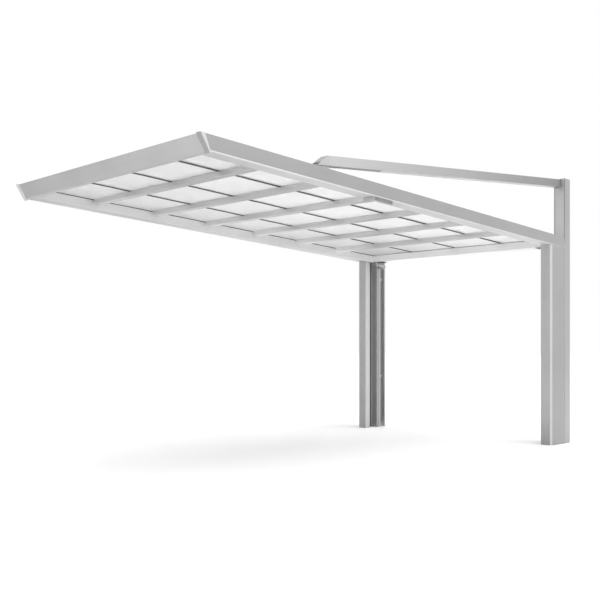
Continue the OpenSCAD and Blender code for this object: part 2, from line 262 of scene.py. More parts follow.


# The post's faces differ in tone: painted light and shade for how the light falls on each, with a painted
# highlight on the chamfer and painted light on the rib. The inner corner of its channel is painted shade,
# dark where little light gets in.
up_the_post, into_the_post, channel_corner = ("Z", 0.2, 2.0), ("Y", 0.0, 0.2), ("Y", 0.160, 0.168)
post_side = anodised("anodised_aluminium_post", ("#A2A2A2", "#A6A6A6"), "z", up_the_post)
post_front_painted_shading = anodised("anodised_aluminium_post_front_painted_shading", ("#959595", "#B1B1B1"), "z", up_the_post)
post_inside_painted_light = anodised("anodised_aluminium_post_inside_painted_light", ("#C4C4C4", "#989898"), "z", into_the_post)
post_channel_painted_shade = anodised("anodised_aluminium_post_channel_painted_shade", ("#3A3A3A", "#A4A4A4"), "z", channel_corner)
left_post_front_painted_shade = anodised("anodised_aluminium_left_post_front_painted_shade", ("#9E9EA0", "#A4A4A6"), "z", up_the_post)
post_edge_painted_highlight = anodised("anodised_aluminium_post_edge_painted_highlight", ("#C4C4C4", "#C8C8C8"), "z", up_the_post)
post_rib_painted_light = anodised("anodised_aluminium_post_rib_painted_light", ("#EAEAEA", "#F2F2F2"), "z", up_the_post)

box_depth, channel_depth = 0.085, 0.135
web_wall, post_chamfer = 0.036, 0.018
left_x, right_x = post_low.x, post_high.x
front_y, back_y = post_low.y, post_high.y
post = pressed("post_right", [
    (left_x, front_y), (right_x - post_chamfer, front_y), (right_x, front_y + post_chamfer),
    (right_x, back_y), (left_x, back_y), (left_x, front_y + box_depth + channel_depth),
    (right_x - web_wall, front_y + box_depth + channel_depth),
    (right_x - web_wall, front_y + box_depth), (left_x, front_y + box_depth),
], 0.0, post_high.z, "z")
for corner in post.data.vertices:
    if corner.co.z > post_high.z / 2:
        corner.co.z = post_high.z - (corner.co.y - front_y) * math.tan(roof_fall)
coated(rounded(post, radius=0.003), post_side, (post_front_painted_shading, (0, -1, 0)), (post_inside_painted_light, (-1, 0, 0)),
       (post_edge_painted_highlight, (1, -1, 0)))
recoated(post, post_channel_painted_shade, [face for face in post.data.polygons
                              if looks_along(face, (-1, 0, 0)) and face.center.x > left_x + web_wall])
recoated(post, post_rib_painted_light, [face for face in post.data.polygons
                          if looks_along(face, (0, -1, 0)) and face.center.y > front_y + box_depth])
left_post = left_twin(post, "post_left")
# The left post's front takes a duller copy of the front finish: painted shade from the roof.
swapped(left_post, post_front_painted_shading, left_post_front_painted_shade)
fitted(left_post, "silver_aluminium", "left_post")
fitted(post, "silver_aluminium", "right_post")

# Masts
# A mast stands behind each post and carries the arm's end above the roof. It is a second
# aluminium extrusion, bolted to the post's rib, with a square groove on its front outer corner and
# a channel for the downpipe.
mast_low, mast_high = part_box("right_mast")
# The mast's faces have their own tones: painted light and shade. The side is a little darker towards the
# top, the front is painted darker at its inner edge, the inside and the rear wall are painted lighter, and
# the groove is painted light to lift its shade, most of all below the top of the beam.
up_the_mast, below_the_roof, past_the_beam = ("Z", 1.0, 2.6), ("Z", 0.0, 2.0), ("Z", 2.14, 2.2)
inner_edge = ("X", -0.051, -0.043)
mast_side = anodised("anodised_aluminium_mast", ("#AEAEAE", "#A8A8A8"), "z", up_the_mast)
mast_front_painted_shade = anodised("anodised_aluminium_mast_front_painted_shade", ("#A8A8A8", "#C6C6C6"), "z", inner_edge)
mast_inside_painted_light = anodised("anodised_aluminium_mast_inside_painted_light", ("#D8D8D8", "#DCDCDC"), "z", below_the_roof)
mast_rear_painted_light = anodised("anodised_aluminium_mast_rear_wall_painted_light", ("#E4E4E4", "#EAEAEA"), "z", below_the_roof)
mast_groove_painted_light = anodised("anodised_aluminium_mast_groove_painted_light", ("#E8E8E8", "#A2A2A2"), "z", past_the_beam)
mast_front_wall, mast_rear_wall, mast_web = 0.012, 0.017, 0.044
groove, groove_slack = 0.009, 0.0009
mast = pressed("mast_right", [
    (mast_low.x, mast_low.y), (mast_high.x - groove, mast_low.y),
    (mast_high.x - groove, mast_low.y + groove), (mast_high.x, mast_low.y + groove),
    (mast_high.x, mast_high.y), (mast_low.x, mast_high.y),
    (mast_low.x, mast_high.y - mast_rear_wall), (mast_high.x - mast_web, mast_high.y - mast_rear_wall),
    (mast_high.x - mast_web, mast_low.y + mast_front_wall), (mast_low.x, mast_low.y + mast_front_wall),
], 0.0, mast_high.z, "z")
coated(rounded(mast, radius=0.002), mast_side, (mast_front_painted_shade, (0, -1, 0)), (mast_inside_painted_light, (-1, 0, 0)))


def in_groove(face):
    """Whether a face of the mast belongs to the walls of its groove."""
    depths = mast_high.x - face.center.x, face.center.y - mast_low.y
    return all(groove_slack < depth < groove + 2 * groove_slack for depth in depths)


recoated(mast, mast_rear_painted_light, [face for face in mast.data.polygons
                           if looks_along(face, (0, -1, 0)) and face.center.y > mast_low.y + groove])
recoated(mast, mast_groove_painted_light, [face for face in mast.data.polygons if in_groove(face)])
fitted(left_twin(mast, "mast_left"), "silver_aluminium", "left_mast")
fitted(mast, "silver_aluminium", "right_mast")

# Mast caps
# A moulded nylon plate closes the open top of each mast. It clips into the mast's channel, and its
# top is dished inside a narrow rim.
mast_cap_low, mast_cap_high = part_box("right_mast_cap")


# An even skin with no metal sheen: moulded nylon in the colour of the frame, duller than the metal,
# with a fine spark texture. Vinyl, rubber and painted steel differ from it in tone and roughness.
def moulded(name, light, deep, roughness):
    grit, patch, swing = 0.004, 0.25, 0.08
    plastic = bpy.data.materials.new(name)
    plastic.use_nodes = True
    tree = plastic.node_tree
    shader = tree.nodes["Principled BSDF"]
    shader.inputs["IOR"].default_value = 1.53
    spot = add_node(tree, "ShaderNodeTexCoord", {}, {})
    sparks = add_node(tree, "ShaderNodeTexNoise", {},
                      {"Vector": spot.outputs["Object"], "Scale": 1 / grit, "Detail": 2.0})
    patches = add_node(tree, "ShaderNodeTexNoise", {},
                       {"Vector": spot.outputs["Object"], "Scale": 1 / patch, "Detail": 3.0})
    tone = add_node(tree, "ShaderNodeMix", {"data_type": "RGBA"},
                    {0: patches.outputs["Fac"], 6: from_hex(deep), 7: from_hex(light)})
    sheen = add_node(tree, "ShaderNodeMapRange", {},
                     {"Value": sparks.outputs["Fac"],
                      "To Min": roughness - swing, "To Max": roughness + swing})
    relief = add_node(tree, "ShaderNodeBump", {},
                      {"Height": sparks.outputs["Fac"], "Strength": 0.15, "Distance": 0.0004})
    tree.links.new(tone.outputs[2], shader.inputs["Base Color"])
    tree.links.new(sheen.outputs["Result"], shader.inputs["Roughness"])
    tree.links.new(relief.outputs["Normal"], shader.inputs["Normal"])
    return plastic


def oblong(across, up):
    """The corners of an oblong outline between two places across and two places up."""
    return [(across[0], up[0]), (across[1], up[0]), (across[1], up[1]), (across[0], up[1])]


cap_nylon = moulded("moulded_nylon_cap", "#A9A9A9", "#9C9C9C", roughness=0.5)
rim, dish = 0.008, 0.0025
mast_cap = pressed("mast_cap_right",
                   oblong((mast_cap_low.x, mast_cap_high.x), (mast_cap_low.y, mast_cap_high.y)),
                   mast_cap_low.z, mast_cap_high.z, "z")
bpy.ops.object.mode_set(mode="EDIT")
bpy.ops.mesh.select_mode(type="FACE")
bpy.ops.mesh.select_all(action="DESELECT")
bpy.ops.object.mode_set(mode="OBJECT")
for face in mast_cap.data.polygons:
    face.select = looks_along(face, (0, 0, 1))
bpy.ops.object.mode_set(mode="EDIT")
bpy.ops.mesh.inset(thickness=rim)
bpy.ops.transform.translate(value=(0.0, 0.0, -dish))
bpy.ops.mesh.select_mode(type="VERT")
bpy.ops.object.mode_set(mode="OBJECT")
coated(rounded(mast_cap, radius=0.0008), cap_nylon)
fitted(left_twin(mast_cap, "mast_cap_left"), "end_cap", "left_mast_cap")
fitted(mast_cap, "end_cap", "right_mast_cap")

# Side beams
# A side beam is the roof's long edge: one aluminium box extrusion with a chamfered lower edge, and
# a ledge at the top of its inner side that carries the panels. It lies on the post and butts the mast.
beam_low, beam_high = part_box("right_side_beam")
beam_top_z = beam_high.z - (front_y - beam_low.y) * math.tan(roof_fall)
roof = Matrix.Translation((0.0, front_y, beam_top_z)) @ Matrix.Rotation(-roof_fall, 4, "X")


def sloped_box(name):
    """The lowest and highest corners of a CAD node, along and square to the roof's slope."""
    corners = [roof.inverted() @ corner.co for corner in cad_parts[name].data.vertices]
    return [[pick(c[i] for c in corners) for i in range(3)] for pick in (min, max)]


def laid_on_roof(piece):
    """Turns a piece from the roof's sloping frame into place, and leaves its object at the origin."""
    piece.data.transform(roof)
    return piece


# Each face of the beam has its own tone: painted light and shade. A painted highlight runs along the
# chamfer, and the underside and inner face are painted lighter, as the floor lights them from below.
beam_run = ("Y", -4.4, -0.6)
beam_side = anodised("anodised_aluminium_beam", ("#9C9C9C", "#A4A4A4"), "y", beam_run)
beam_edge_painted_highlight = anodised("anodised_aluminium_beam_edge_painted_highlight", ("#D0D0D0", "#D0D0D0"), "y", beam_run)
beam_under_painted_light = anodised("anodised_aluminium_beam_underside_painted_light", ("#9C9C9C", "#B8B8B8"), "y", beam_run)
beam_inside_painted_light = anodised("anodised_aluminium_beam_inside_painted_light", ("#D4D4D4", "#DEDEDE"), "y", beam_run)
(ledge_x, beam_front, beam_foot), (beam_x, _, _) = sloped_box("right_side_beam")
panel_z = sloped_box("roof_panel_1")[0][2]
panel_x = sloped_box("roof_panel_1")[1][0]
beam_chamfer, beam_slant = 0.008, 0.055
beam = pressed("side_beam_right", [
    (beam_x, 0.0), (beam_x, beam_foot + beam_chamfer), (beam_x - beam_chamfer, beam_foot),
    (ledge_x, beam_foot), (ledge_x, panel_z), (panel_x, panel_z), (panel_x, 0.0),
], beam_front, 0.0, "y")
for corner in beam.data.vertices:
    if corner.co.y < beam_front / 2:
        corner.co.y += beam_slant * corner.co.z / beam_foot
    else:
        corner.co.y = (mast_low.y - front_y - corner.co.z * math.sin(roof_fall)) / math.cos(roof_fall)
coated(rounded(beam, radius=0.002), beam_side, (beam_edge_painted_highlight, (1, 0, -1)), (beam_under_painted_light, (0, 0, -1)),
       (beam_inside_painted_light, (-1, 0, 0)))
laid_on_roof(beam)
fitted(left_twin(beam, "side_beam_left"), "silver_aluminium", "left_side_beam")
fitted(beam, "silver_aluminium", "right_side_beam")

# Beam end caps
# A wedge-shaped cap of moulded nylon is pushed into each corner where the leaning fascia meets a
# side beam. It hangs a little below them both.
(end_x, end_front, end_foot), (end_out_x, end_back, _) = sloped_box("right_beam_cap")
# The cap's leaning front and its underside take a darker copy of the nylon: painted shade. On the left cap
# the front keeps the lighter tone.
cap_side = moulded("moulded_nylon_end_cap", "#C4C4C4", "#BEBEBE", roughness=0.5)
cap_front_painted_shade = moulded("moulded_nylon_end_cap_front_painted_shade", "#9A9A9A", "#949494", roughness=0.5)
fascia_lean, fascia_height = 0.080, 0.110
lean_share = fascia_lean / fascia_height
beam_cap = pressed("beam_cap_right", [
    (end_front, 0.0), (beam_front, 0.0), (end_back, end_foot),
    (end_front + fascia_lean - lean_share * (end_foot - beam_foot), end_foot),
], end_x, end_out_x, "x")
coated(rounded(beam_cap, radius=0.002), cap_side, (cap_front_painted_shade, (0, -1, -lean_share)),
       (cap_front_painted_shade, (0, 0, -1)))
laid_on_roof(beam_cap)
left_cap = left_twin(beam_cap, "beam_cap_left")
swapped(left_cap, cap_front_painted_shade, cap_side)
fitted(left_cap, "end_cap", "left_beam_cap")
fitted(beam_cap, "end_cap", "right_beam_cap")

# Front fascia
# The fascia is the roof's leaning front board, an aluminium extrusion that is screwed to the beams'
# ends between the two caps. A ledge on its back carries the front edges of the panels.
# The fascia's face and its underside have their own tones, which drift along it: painted light and shade.
fascia_run = ("X", -2.6, 0.0)
fascia_face = anodised("anodised_aluminium_fascia", ("#A0A0A0", "#B4B4B4"), "x", fascia_run)
fascia_under_painted_shade = anodised("anodised_aluminium_fascia_underside_painted_shade", ("#A0A0A0", "#949494"), "x", fascia_run)
fascia_low, fascia_high = sloped_box("front_fascia")
fascia_left, fascia_front, fascia_foot = fascia_low
fascia_right, fascia_ledge, fascia_top = fascia_high
slant_share = beam_slant / -beam_foot
back_foot, back_top = beam_front - slant_share * fascia_foot, beam_front - slant_share * fascia_top
back_panel = beam_front - slant_share * panel_z


def joined(pieces):
    """Joins several meshes into the first of them."""
    bpy.ops.object.select_all(action="DESELECT")
    for piece in pieces:
        piece.select_set(True)
    bpy.context.view_layer.objects.active = pieces[0]
    bpy.ops.object.join()
    return pieces[0]


fascia = pressed("front_fascia_board", [
    (fascia_front, fascia_top), (fascia_front + fascia_lean, fascia_foot),
    (back_foot, fascia_foot), (back_top, fascia_top),
], fascia_left, fascia_right, "x")
ledge = pressed("fascia_ledge", [
    (back_foot, fascia_foot), (fascia_ledge, fascia_foot), (fascia_ledge, panel_z), (back_panel, panel_z),
], 2 * middle_x - ledge_x, ledge_x, "x")
coated(joined([rounded(fascia, radius=0.002), rounded(ledge, radius=0.002)]),
       fascia_face, (fascia_under_painted_shade, (0, 0, -1)))
laid_on_roof(fascia)
fitted(fascia, "silver_aluminium", "front_fascia")

# Rafters
# Six slim aluminium extrusions span between the side beams, close under the panels. Each is
# screwed to the beams through its ends.
# Each rafter's front and underside take their own tones: painted light and shade. They are darker towards
# the right end, and at the left end lighter on the rear rafters.
rafter_run = ("X", -2.52, -1.85)
under_run = ("X", -2.40, -1.20)
rafter_count = 6


def greyed(front, rear, share):
    """The hex value of the grey that lies a share of the way from a front to a rear tone."""
    front_level, rear_level = int(front[1:3], 16), int(rear[1:3], 16)
    return "#" + 3 * f"{round(front_level + share * (rear_level - front_level)):02X}"


rafter_spans = []
for number in range(1, rafter_count + 1):
    rafter_low, rafter_high = sloped_box(f"rafter_{number}")
    rafter_left, rafter_front, rafter_foot = rafter_low
    rafter_right, rafter_back, rafter_top = rafter_high
    rafter_spans.append((rafter_front, rafter_back))
    share = (number - 1) / (rafter_count - 1)
    face_painted_shading = greyed("#DEDEDE", "#F0F0F0", share), greyed("#C8C8C8", "#C1C1C1", share)
    under_painted_shading = greyed("#AEAEAE", "#D2D2D2", share), greyed("#8A8A8A", "#A0A0A0", share)
    rafter = pressed(f"rafter_bar_{number}", oblong((rafter_front, rafter_back), (rafter_foot, rafter_top)),
                     rafter_left, rafter_right, "x")
    rafter_face = anodised(f"anodised_aluminium_rafter_{number}", face_painted_shading, "x", rafter_run)
    rafter_under_painted_shading = anodised(f"anodised_aluminium_rafter_{number}_underside", under_painted_shading, "x", under_run)
    coated(rounded(rafter, radius=0.002), rafter_face, (rafter_under_painted_shading, (0, 0, -1)))
    laid_on_roof(rafter)
    fitted(rafter, "silver_aluminium", f"rafter_{number}")

# Rear gutter
# A folded aluminium channel between the side beams, along the roof's lower end, takes the rain to
# the downpipes. Its front lip is turned in under the panels, and a plate closes each end.
gutter_sheet = anodised("white_anodised_gutter", ("#F0F0F0", "#D8D8D8"), "x", fascia_run)
gutter_low, gutter_high = sloped_box("rear_gutter")
gutter_left, gutter_front, gutter_foot = gutter_low
gutter_right, gutter_back, gutter_rise = gutter_high
sheet_wall, lip = 0.005, 0.014
trough_front, trough_back = gutter_front + sheet_wall, gutter_back - sheet_wall
trough_floor, lip_under = gutter_foot + sheet_wall, panel_z - sheet_wall
gutter = pressed("rear_gutter_channel", [
    (gutter_front, panel_z), (gutter_front, gutter_foot), (gutter_back, gutter_foot),
    (gutter_back, gutter_rise), (trough_back, gutter_rise), (trough_back, trough_floor),
    (trough_front, trough_floor), (trough_front, lip_under), (gutter_front + lip, lip_under),
    (gutter_front + lip, panel_z),
], gutter_left, gutter_right, "x")
laid_on_roof(coated(rounded(gutter, radius=0.0015), gutter_sheet))
fitted(gutter, "silver_aluminium", "rear_gutter")
(_, plate_front, plate_foot), (plate_right, plate_back, plate_top) = sloped_box("gutter_end_caps")
end_plate = pressed("gutter_end_plates", oblong((plate_front, plate_back), (plate_foot, plate_top)),
                    gutter_right, plate_right, "x")
laid_on_roof(coated(rounded(end_plate, radius=0.001), gutter_sheet))
fitted(joined([end_plate, left_twin(end_plate, "gutter_end_plate_left")]), "end_cap", "gutter_end_caps")

# Roof panels
# Four twin-wall polycarbonate sheets, extruded and cut to length, lie side by side on the ledges.
# They are frosted, and let the daylight through as an even glow.
panel_count = 4
# Frosted polycarbonate: a milky sheet with soft highlights. Its flutes are drawn at their real 11 mm. Its
# tone is painted light and shade: an even grey on the left, and lighter towards the rear on the right.
sheet = bpy.data.materials.new("frosted_polycarbonate")
sheet.use_nodes = True
sheet_tree = sheet.node_tree
sheet_shader = sheet_tree.nodes["Principled BSDF"]
sheet_shader.inputs["IOR"].default_value = 1.58
sheet_shader.inputs["Transmission Weight"].default_value = 0.75
haze_size, flute_width = 0.4, 0.011
wave_rate = 20.0  # radians per metre of the Wave texture at a scale of 1
sheet_spot = add_node(sheet_tree, "ShaderNodeTexCoord", {}, {})
sheet_haze = add_node(sheet_tree, "ShaderNodeTexNoise", {},
                      {"Vector": sheet_spot.outputs["Object"], "Scale": 1 / haze_size, "Detail": 3.0})
sheet_along = add_node(sheet_tree, "ShaderNodeSeparateXYZ", {}, {"Vector": sheet_spot.outputs["Object"]})
sheet_place = add_node(sheet_tree, "ShaderNodeMapRange", {},
                       {"Value": sheet_along.outputs["Y"], "From Min": -4.4, "From Max": -0.8})
sheet_painted_light = add_node(sheet_tree, "ShaderNodeMix", {"data_type": "RGBA"},
                      {0: sheet_place.outputs["Result"], 6: from_hex("#DEDEDE"), 7: from_hex("#F2F2F2")})
sheet_side = add_node(sheet_tree, "ShaderNodeMapRange", {},
                      {"Value": sheet_along.outputs["X"], "From Min": -2.3, "From Max": -0.8})
sheet_painted_shading = add_node(sheet_tree, "ShaderNodeMix", {"data_type": "RGBA"},
                       {0: sheet_side.outputs["Result"], 6: from_hex("#DCDCDC"), 7: sheet_painted_light.outputs[2]})
sheet_frost = add_node(sheet_tree, "ShaderNodeMapRange", {},
                       {"Value": sheet_haze.outputs["Fac"], "To Min": 0.5, "To Max": 0.62})
sheet_flutes = add_node(sheet_tree, "ShaderNodeTexWave", {"bands_direction": "X"},
                        {"Vector": sheet_spot.outputs["Object"],
                         "Scale": 2 * math.pi / (wave_rate * flute_width)})
sheet_relief = add_node(sheet_tree, "ShaderNodeBump", {},
                        {"Height": sheet_flutes.outputs["Fac"], "Strength": 0.1, "Distance": 0.0005})
sheet_tree.links.new(sheet_painted_shading.outputs[2], sheet_shader.inputs["Base Color"])
sheet_tree.links.new(sheet_frost.outputs["Result"], sheet_shader.inputs["Roughness"])
sheet_tree.links.new(sheet_relief.outputs["Normal"], sheet_shader.inputs["Normal"])
for number in range(1, panel_count + 1):
    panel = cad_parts[f"roof_panel_{number}"]
    panel.data.materials.clear()
    panel.data.materials.append(sheet)

# Panel joints
# An extruded rubber-faced bar fills each joint between two panels. Its cover strip is screwed down
# over the sheets' edges.
joint_width, cover_drop, bolt_count = 0.036, 0.005, 7
# Weathered rubber: nearly black, and matt.
joint_rubber = moulded("weathered_rubber", "#2E2E2E", "#262626", roughness=0.6)


def circle_outline(across, up, radius, sides):
    """The corners of a round or many-sided outline."""
    turns = [2 * math.pi * side / sides for side in range(sides)]
    return [(across + radius * math.cos(turn), up + radius * math.sin(turn)) for turn in turns]


def bolted(piece, places, start, axis, out=1):
    """Adds hexagon bolt heads on washers, which stand out from a face of a piece."""
    washer_radius, washer_height, head_radius, head_height = 0.008, 0.0012, 0.0055, 0.0035
    washer_sides, head_sides = 20, 6
    heads = []
    for across, up in places:
        washer_top = start + out * washer_height
        washer = pressed("washer", circle_outline(across, up, washer_radius, washer_sides),
                         start, washer_top, axis)
        head = pressed("head", circle_outline(across, up, head_radius, head_sides),
                       washer_top, washer_top + out * head_height, axis)
        heads += [rounded(washer, radius=0.0003, segments=1), rounded(head, radius=0.0006, segments=1)]
    return joined([piece] + heads)


joint_places = []
for number in range(1, panel_count):
    joint_low, joint_high = sloped_box(f"joint_bar_{number}")
    cover_left, joint_front, joint_foot = joint_low
    cover_right, joint_back, cover_top = joint_high
    joint_middle = (cover_left + cover_right) / 2
    joint_places.append(joint_middle)
    cover_z = cover_top - cover_drop
    joint_left, joint_right = joint_middle - joint_width / 2, joint_middle + joint_width / 2
    joint = pressed(f"joint_strip_{number}", [
        (joint_left, joint_foot), (joint_right, joint_foot), (joint_right, cover_z), (cover_right, cover_z),
        (cover_right, cover_top), (cover_left, cover_top), (cover_left, cover_z), (joint_left, cover_z),
    ], joint_front, joint_back, "y")
    rounded(joint, radius=0.001)
    bolt_step = (joint_back - joint_front) / bolt_count
    spots = [(joint_middle, joint_front + (place + 0.5) * bolt_step) for place in range(bolt_count)]
    laid_on_roof(coated(bolted(joint, spots, cover_top, "z"), joint_rubber))
    fitted(joint, "joint_strip", f"joint_bar_{number}")

# Edge gaskets
# Rubber gaskets seal the panels' edges against the beams and the gutter, and the joints from
# below. They show as dark lines in each bay, between one rafter and the next.
gasket_height, gutter_gasket_height, gasket_depth = 0.0065, 0.004, 0.003
seal_height, seal_half = 0.003, 0.014
gasket_round = 0.0008
bay_starts = [fascia_ledge] + [back for _, back in rafter_spans]
bay_ends = [front for front, _ in rafter_spans] + [gutter_front]
gaskets = []
for bay_start, bay_end in zip(bay_starts, bay_ends):
    gasket = pressed("edge_gaskets",
                     oblong((ledge_x - gasket_depth, ledge_x), (panel_z - gasket_height, panel_z)),
                     bay_start, bay_end, "y")
    rounded(gasket, radius=gasket_round, segments=1)
    gaskets += [gasket, left_twin(gasket, "edge_gasket_left")]
    for seal_x in joint_places:
        seal = pressed("joint_seal",
                       oblong((seal_x - seal_half, seal_x + seal_half), (panel_z - seal_height, panel_z)),
                       bay_start, bay_end, "y")
        gaskets.append(rounded(seal, radius=gasket_round, segments=1))
gutter_gasket = pressed("gutter_gasket",
                        oblong((gutter_front - gasket_depth, gutter_front),
                               (panel_z - gutter_gasket_height, panel_z)),
                        2 * middle_x - ledge_x + gasket_depth, ledge_x - gasket_depth, "x")
gaskets.append(rounded(gutter_gasket, radius=gasket_round, segments=1))
fitted(laid_on_roof(coated(joined(gaskets), joint_rubber)), "joint_strip")

# Arms
# A box-section arm of extruded aluminium slopes from the top of each mast down to the beam, and
# hangs the roof from it. Its end is cut upright and bolted to the front of the mast.
arm_low, arm_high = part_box("right_arm")
# The arm is painted lighter at the nose and darker at the mast, and its underside lighter still: painted
# light and shade.
arm_run = ("Y", -3.3, 0.2)
arm_metal_painted_shading = anodised("anodised_aluminium_arm_painted_shading", ("#BCBCBC", "#8C8C8C"), "y", arm_run)
arm_under_painted_light = anodised("anodised_aluminium_arm_underside_painted_light", ("#F4F4F4", "#B4B4B4"), "y", arm_run)


def heights_at(name, y):
    """The lowest and the highest z of a CAD node's corners that lie at one y."""
    nearness = 0.0005
    corners = [corner.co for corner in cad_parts[name].data.vertices]
    levels = [corner.z for corner in corners if abs(corner.y - y) < nearness]
    return min(levels), max(levels)


arm_front_foot, arm_front_top = heights_at("right_arm", arm_low.y)
arm_back_foot, arm_back_top = heights_at("right_arm", arm_high.y)
arm = pressed("arm_right", [
    (arm_high.y, arm_back_foot), (arm_high.y, arm_back_top),
    (arm_low.y, arm_front_top), (arm_low.y, arm_front_foot),
], arm_low.x, arm_high.x, "x")
coated(rounded(arm, radius=0.003), arm_metal_painted_shading, (arm_under_painted_light, (0, 0, -1)))
fitted(left_twin(arm, "arm_left"), "silver_aluminium", "left_arm")
fitted(arm, "silver_aluminium", "right_arm")

# Arm noses
# A nose of moulded nylon is pushed into the front end of each arm. It closes the arm with a long bevel. The
# lower quarter of the bevel is painted nearly black: painted shade under the nose, on a flat face with no
# opening.
nose_low, nose_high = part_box("right_arm_nose")
# Moulded nylon again. The bevel takes a darker copy, and its lower quarter a nearly black one: painted
# shade.
nose_side = moulded("moulded_nylon_nose", "#B8B8B8", "#B2B2B2", roughness=0.5)
nose_bevel_painted_shade = moulded("moulded_nylon_nose_bevel_painted_shade", "#A0A0A0", "#9A9A9A", roughness=0.5)
nose_painted_shade = moulded("moulded_nylon_nose_painted_shade", "#3A3A3A", "#323232", roughness=0.6)
nose_tip_foot, nose_tip_top = heights_at("right_arm_nose", nose_low.y)
painted_shade_share = 0.25
painted_shade_y = nose_low.y + painted_shade_share * (arm_low.y - nose_low.y)
painted_shade_z = nose_tip_top + painted_shade_share * (arm_front_top - nose_tip_top)
nose = pressed("arm_nose_right", [
    (arm_low.y, arm_front_foot), (arm_low.y, arm_front_top), (painted_shade_y, painted_shade_z),
    (nose_low.y, nose_tip_top), (nose_low.y, nose_tip_foot),
], nose_low.x, nose_high.x, "x")
bevel_way = (0.0, nose_tip_top - arm_front_top, arm_low.y - nose_low.y)
coated(rounded(nose, radius=0.0015), nose_side, (nose_bevel_painted_shade, bevel_way))
recoated(nose, nose_painted_shade, [face for face in nose.data.polygons
                            if looks_along(face, bevel_way) and face.center.z < painted_shade_z])
fitted(left_twin(nose, "arm_nose_left"), "end_cap", "left_arm_nose")
fitted(nose, "end_cap", "right_arm_nose")

# Arm feet
# A painted steel foot stands on the beam under each nose and takes the arm's bolts. A flat bar
# behind it stiffens the arm's lower outer edge.
foot_low, foot_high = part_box("right_arm_foot")
# Painted steel: an even satin grey.
foot_steel = moulded("painted_steel_foot", "#C8C8C8", "#C0C0C0", roughness=0.45)
# The stiffener takes a darker copy of the painted steel: painted shade under the arm.
steel_painted_shade = moulded("painted_steel_stiffener_painted_shade", "#8C8C8C", "#808080", roughness=0.45)
foot_length, foot_inset, bar_width, bar_depth = 0.118, 0.012, 0.024, 0.008
bolt_shares = (0.35, 0.75)
heel_y = foot_low.y + foot_length
toe_foot, toe_top = heights_at("right_arm_foot", foot_low.y)
heel_foot, heel_top = heights_at("right_arm_foot", heel_y)
bar_foot, bar_top = heights_at("right_arm_foot", foot_high.y)
wedge_x = foot_high.x - foot_inset
foot = pressed("arm_foot_right", [
    (foot_low.y, toe_top), (foot_low.y, toe_foot), (heel_y, heel_foot), (heel_y, heel_top),
], foot_low.x, wedge_x, "x")
rounded(foot, radius=0.001)
foot_bolts = [(foot_low.y + share * foot_length, (toe_foot + heel_top) / 2) for share in bolt_shares]
bolted(foot, foot_bolts, wedge_x, "x")
stiffener = pressed("arm_stiffener", [
    (heel_y, heel_top), (heel_y, heel_top - bar_depth), (foot_high.y, bar_foot), (foot_high.y, bar_top),
], foot_high.x - bar_width, foot_high.x, "x")
coated(rounded(stiffener, radius=0.001), steel_painted_shade)
joined([coated(foot, foot_steel), stiffener])
fitted(left_twin(foot, "arm_foot_left"), "bracket_metal", "left_arm_foot")
fitted(foot, "bracket_metal", "right_arm_foot")

# Brace bracket
# An angle of two painted steel plates under the right beam takes a brace: a side plate along the
# beam with two bolts, and a front plate across it.
# The two plates are one painted steel in two copies, the front lighter and the side darker: painted light
# and shade.
bracket_front_painted_light = moulded("painted_steel_bracket_front_painted_light", "#B8B8B8", "#B0B0B0", roughness=0.45)
bracket_side_painted_shade = moulded("painted_steel_bracket_side_painted_shade", "#808080", "#787878", roughness=0.45)
bracket_low, bracket_high = sloped_box("brace_bracket")
bracket_left, bracket_front, bracket_foot = bracket_low
bracket_right, bracket_back, bracket_top = bracket_high
plate_wall, bolt_inset = 0.004, 0.03
plate_x = bracket_right - plate_wall
side_plate = pressed("brace_bracket_angle",
                     oblong((bracket_front, bracket_back), (bracket_foot, bracket_top)),
                     plate_x, bracket_right, "x")
rounded(side_plate, radius=0.001)
bolt_z = (bracket_foot + bracket_top) / 2
side_bolts = [(bracket_front + bolt_inset, bolt_z), (bracket_back - bolt_inset, bolt_z)]
coated(bolted(side_plate, side_bolts, bracket_right, "x"), bracket_side_painted_shade)
front_plate = pressed("brace_front_plate", oblong((bracket_left, plate_x), (bracket_foot, bracket_top)),
                      bracket_front, bracket_front + plate_wall, "y")
coated(rounded(front_plate, radius=0.001), bracket_front_painted_light)
fitted(laid_on_roof(joined([side_plate, front_plate])), "bracket_metal", "brace_bracket")

# Downpipes
# A vinyl drain pipe leaves each end of the gutter through a rubber flange, falls back to the mast
# and runs down in its channel. Bends with sockets join its runs, and its lower end is open.
pipe_low, pipe_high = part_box("right_downpipe")
# Grey vinyl: smooth, with a soft gloss. The pipe below the bends takes a darker copy: painted shade, where
# it runs down in the mast's channel.
pipe_vinyl = moulded("vinyl_downpipe_bends", "#A0A0A0", "#989898", roughness=0.4)
pipe_painted_shade = moulded("vinyl_downpipe_painted_shade", "#707070", "#686868", roughness=0.4)
pipe_radius, pipe_wall, socket_wall = 0.020, 0.003, 0.002
outlet_drop, run_fall = 0.026, math.radians(10.0)


